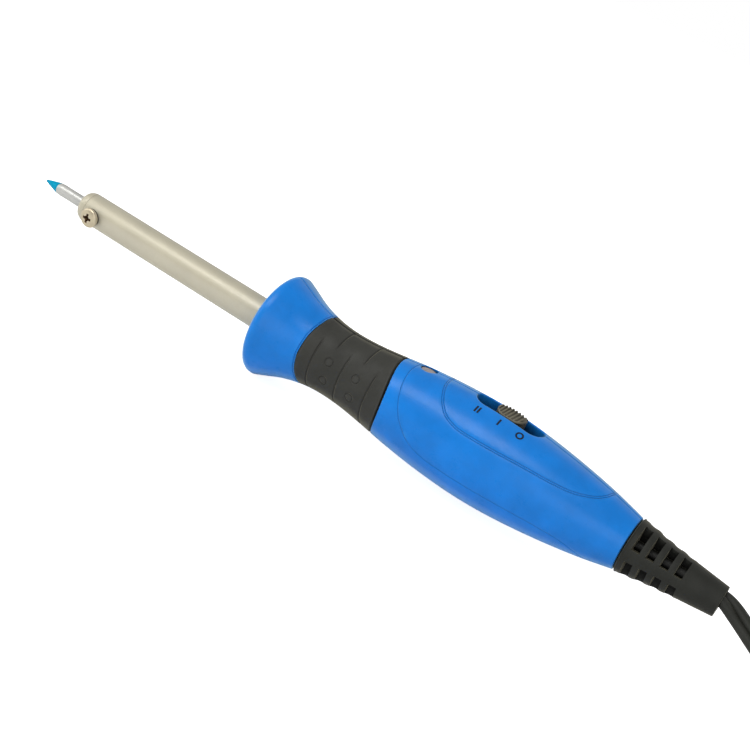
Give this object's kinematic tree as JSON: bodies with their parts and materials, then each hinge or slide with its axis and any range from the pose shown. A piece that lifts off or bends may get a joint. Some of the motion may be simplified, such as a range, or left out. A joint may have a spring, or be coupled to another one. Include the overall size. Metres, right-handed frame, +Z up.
{
  "type": "soldering iron",
  "caption": "Pencil-shaped mains soldering iron with a plated pointed tip, steel heater barrel, flared blue handle with soft grip, slide switch, strain boot, flat cable and plug.",
  "frame": {"origin": "middle of the overall length and width, on the bench the iron lies on (z = 0)", "axes": "+X along the tool from the tip to the plug, +Z up through the switch and the indicator lamp, handle shells part in the plane y = 0"},
  "size_m": [0.361, 0.0354, 0.0328],
  "materials": {
    "blue_plastic": "satin-gloss moulded nylon",
    "soft_grip": "soft-touch moulded rubber, fine matt texture",
    "black_rubber": "moulded flexible PVC, satin",
    "knob_plastic": "moulded, ribbed",
    "clear_lens": "milky clear plastic",
    "satin_steel": "satin stainless steel, drawn along the tube",
    "bright_steel": "bright nickel plate",
    "plated_copper": "iron and chrome plated copper, satin, blue protective coat on the point",
    "ceramic": "fired steatite ceramic",
    "mica": "rolled mica sheet",
    "resistance_wire": "oxidised nickel-chrome wire",
    "brass": "bright",
    "black_plastic": "moulded",
    "brown_insulation": "extruded PVC",
    "lamp_glass": "neon lamp glass"
  },
  "bodies": {
    "handle": {"shell_left": "blue_plastic", "shell_right": "blue_plastic", "grip_left": "soft_grip", "grip_right": "soft_grip", "light_window": "clear_lens", "indicator_lamp": "lamp_glass", "lamp_resistor": "ceramic", "switch_housing": "black_plastic", "contact_high": "brass", "contact_common": "brass", "contact_low": "brass", "power_diode": "black_plastic", "barrel": "satin_steel", "nose_collar": "satin_steel", "barrel_flange": "satin_steel", "heater_core": "ceramic", "heater_winding": "resistance_wire", "mica_sleeve": "mica", "rear_insulator": "ceramic", "heater_lead_live": "resistance_wire", "heater_lead_neutral": "resistance_wire", "crimp_live": "brass", "crimp_neutral": "brass", "switch_wire": "brown_insulation", "cable_core_live": "brown_insulation", "cable_core_neutral": "black_plastic", "cord_clamp": "satin_steel", "clamp_screw_low": "bright_steel", "clamp_screw_high": "bright_steel", "shell_screw_front": "bright_steel", "shell_screw_middle": "bright_steel", "shell_screw_rear": "bright_steel", "strain_boot": "black_rubber", "mains_cable": "black_rubber", "plug_body": "black_rubber", "plug_pin_left": "brass", "plug_pin_right": "brass", "pin_sleeve_left": "black_plastic", "pin_sleeve_right": "black_plastic"},
    "tip": {"tip": "plated_copper"},
    "lock_washer": {"lock_washer": "bright_steel"},
    "tip_screw": {"tip_screw": "bright_steel"},
    "switch_slider": {"switch_knob": "knob_plastic", "switch_slider": "black_plastic", "contact_bridge": "brass"}
  },
  "joints": [
    {"name": "switch_slide", "type": "slide", "parent": "handle", "child": "switch_slider", "axis": [1, 0, 0], "range_m": [-0.0062, 0.0062]},
    {"name": "tip_pull", "type": "slide", "parent": "handle", "child": "tip", "axis": [-1, 0, 0], "range_m": [0, 0.045]},
    {"name": "screw_advance", "type": "slide", "parent": "handle", "child": "lock_washer", "axis": [0, -0.9914, -0.1305], "range_m": [0, 0.0015]},
    {"name": "screw_turn", "type": "hinge", "parent": "lock_washer", "child": "tip_screw", "pos_m": [-0.1564, -0.00595, 0.01562], "axis": [0, -0.9914, -0.1305], "range_deg": [0, 1080]}
  ],
  "couplings": [
    {"joint": "screw_turn", "follows": "screw_advance", "rad_per_m": 12566}
  ]
}
